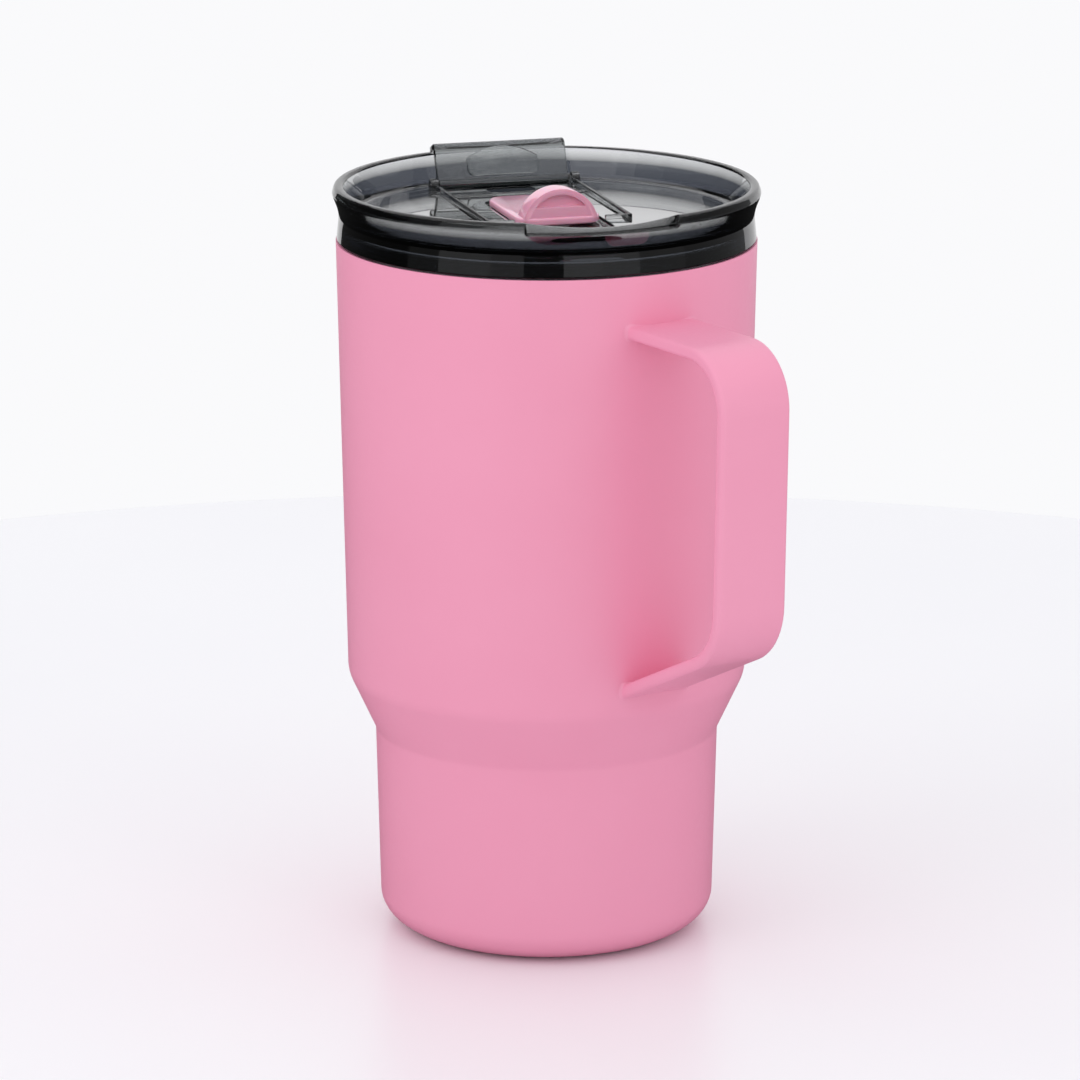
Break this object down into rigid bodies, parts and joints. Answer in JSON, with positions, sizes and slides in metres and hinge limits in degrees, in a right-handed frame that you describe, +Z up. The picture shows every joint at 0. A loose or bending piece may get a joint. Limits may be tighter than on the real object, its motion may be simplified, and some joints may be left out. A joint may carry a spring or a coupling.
{
  "type": "insulated travel mug with lid",
  "caption": "Double-wall vacuum travel mug with a stepped body, a welded strap handle and a press-in lid with a flip cover and a sliding closure.",
  "frame": {"origin": "centre of the non-slip pad under the mug, on the mug's axis, in the plane it stands on", "axes": "+Z up along the mug's axis, +X towards the handle, so the handle lies in the XZ plane; -Y is the face a right-handed drinker shows to others"},
  "size_m": [0.1259, 0.092, 0.1672],
  "materials": {
    "powder_coat": "satin pink powder coat",
    "liner_steel": "brushed stainless steel",
    "foil": "thin copper foil",
    "seal_glass": "fused glass bead",
    "getter_metal": "sintered metal pellet",
    "smoke_plastic": "clear smoke-tinted gloss plastic",
    "clear_silicone": "milky clear silicone",
    "pink_plastic": "gloss pink moulded plastic"
  },
  "bodies": {
    "mug": {"outer_shell": "powder_coat", "inner_liner": "liner_steel", "foil_sleeve": "foil", "base_disc": "powder_coat", "seal_bead": "seal_glass", "base_pad": "clear_silicone", "getter": "getter_metal", "handle_strap": "powder_coat"},
    "lid": {"lid_shell": "smoke_plastic", "lid_gasket": "clear_silicone"},
    "flap": {"flap_cover": "smoke_plastic", "flap_seal": "clear_silicone"},
    "slider": {"slider_tab": "pink_plastic", "slider_clip": "pink_plastic", "slider_pad": "clear_silicone"}
  },
  "joints": [
    {"name": "lid_lift", "type": "slide", "parent": "mug", "child": "lid", "axis": [0, 0, 1], "range_m": [0, 0.03]},
    {"name": "flap_hinge", "type": "hinge", "parent": "lid", "child": "flap", "pos_m": [-0.03202, 0.00949, 0.15895], "axis": [0.284, 0.9588, 0], "range_deg": [0, 115]},
    {"name": "slider_slide", "type": "slide", "parent": "lid", "child": "slider", "axis": [0.9588, -0.284, 0], "range_m": [0, 0.009]}
  ]
}
